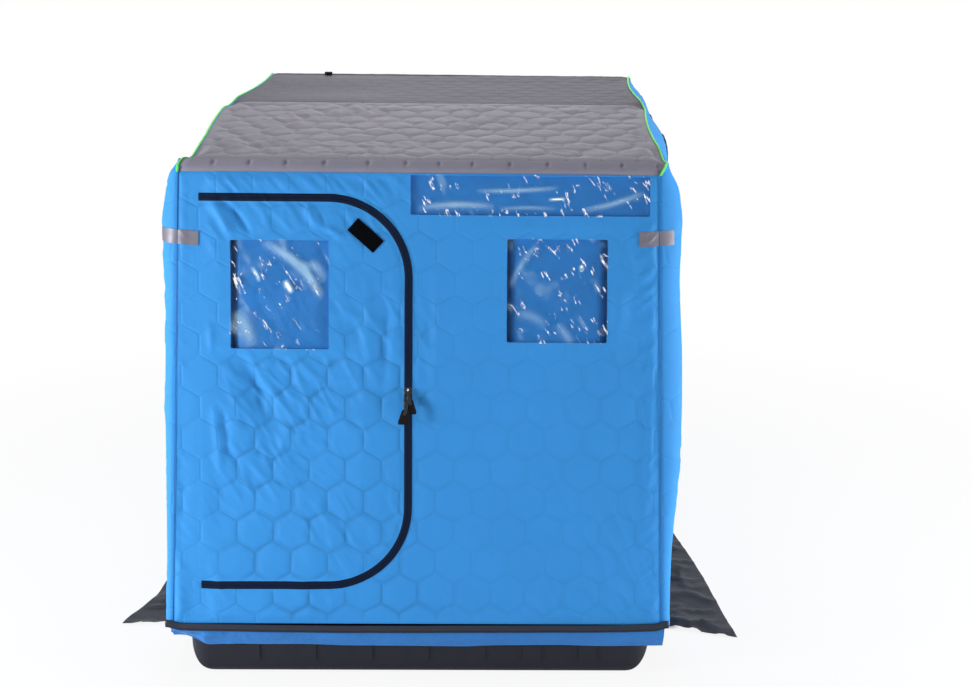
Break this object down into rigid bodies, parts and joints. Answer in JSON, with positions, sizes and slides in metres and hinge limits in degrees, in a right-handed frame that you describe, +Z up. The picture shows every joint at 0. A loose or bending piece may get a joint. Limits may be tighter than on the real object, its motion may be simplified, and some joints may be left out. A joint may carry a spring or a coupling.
{
  "type": "flip-over ice fishing hut",
  "caption": "Quilted fabric hut on tube hoops over a moulded sled, with a zipped door that swings and clear windows, for shelter on ice.",
  "frame": {"origin": "centre of the whole object's box, on the ground", "axes": "+X to the right as seen from behind, along the sled; +Y from the sled wall to the front wall; +Z up"},
  "size_m": [2.1392, 2.638, 1.8875],
  "materials": {
    "blue_quilt": "quilted matt polyester",
    "blue_cloth": "plain woven polyester",
    "clear_vinyl": "clear flexible vinyl",
    "grey_quilt": "quilted matt polyester",
    "dark_grey_quilt": "quilted matt polyester",
    "lime_piping": "bright piping cord",
    "reflective_tape": "grey reflective tape",
    "black_webbing": "woven webbing",
    "black_skirt": "coated woven skirt",
    "slider_metal": "black enamelled metal",
    "black_zipper": "zipper tape and coil",
    "tube": "powder-coated tube",
    "bracket_steel": "powder-coated steel",
    "sled_plastic": "rotomoulded plastic"
  },
  "bodies": {
    "shell": {"door_hinge_cord": "blue_quilt", "door_placket": "black_zipper", "door_zipper_wall_side": "black_zipper", "front_hoop": "tube", "front_wall": "blue_quilt", "front_window_covers": "blue_cloth", "front_window_panes": "clear_vinyl", "ground_hoop": "tube", "middle_hoop": "tube", "pivot_bracket_left": "bracket_steel", "pivot_bracket_right": "bracket_steel", "rear_base_zipper": "black_zipper", "rear_hem": "blue_cloth", "rear_hoop": "tube", "rear_wall_left": "blue_quilt", "rear_wall_over_door": "blue_quilt", "rear_wall_right": "blue_quilt", "rear_wall_under_door": "blue_quilt", "rear_window_covers": "blue_cloth", "rear_window_panes": "clear_vinyl", "reflective_patches": "reflective_tape", "roof_front_panel": "dark_grey_quilt", "roof_front_sleeve": "dark_grey_quilt", "roof_piping_left": "lime_piping", "roof_piping_right": "lime_piping", "roof_rear_panel": "grey_quilt", "roof_rear_sleeve": "grey_quilt", "roof_webbing_tab": "black_webbing", "side_door_zippers": "black_zipper", "side_wall_left": "blue_quilt", "side_wall_right": "blue_quilt", "side_window_covers": "blue_cloth", "side_window_panes": "clear_vinyl", "skirt_front": "black_skirt", "skirt_left": "black_skirt", "skirt_right": "black_skirt", "sled_tub": "sled_plastic"},
    "door": {"door_panel": "blue_quilt", "door_window_pane": "clear_vinyl", "door_window_cover": "blue_cloth", "door_zipper_door_side": "black_zipper", "door_zipper_sliders": "slider_metal", "door_strap_tab": "black_webbing"}
  },
  "joints": [
    {"name": "door_swing", "type": "hinge", "parent": "shell", "child": "door", "pos_m": [-0.694, -1.21385, 0.93], "axis": [0, -0.1337, -0.991], "range_deg": [0, 110]}
  ]
}
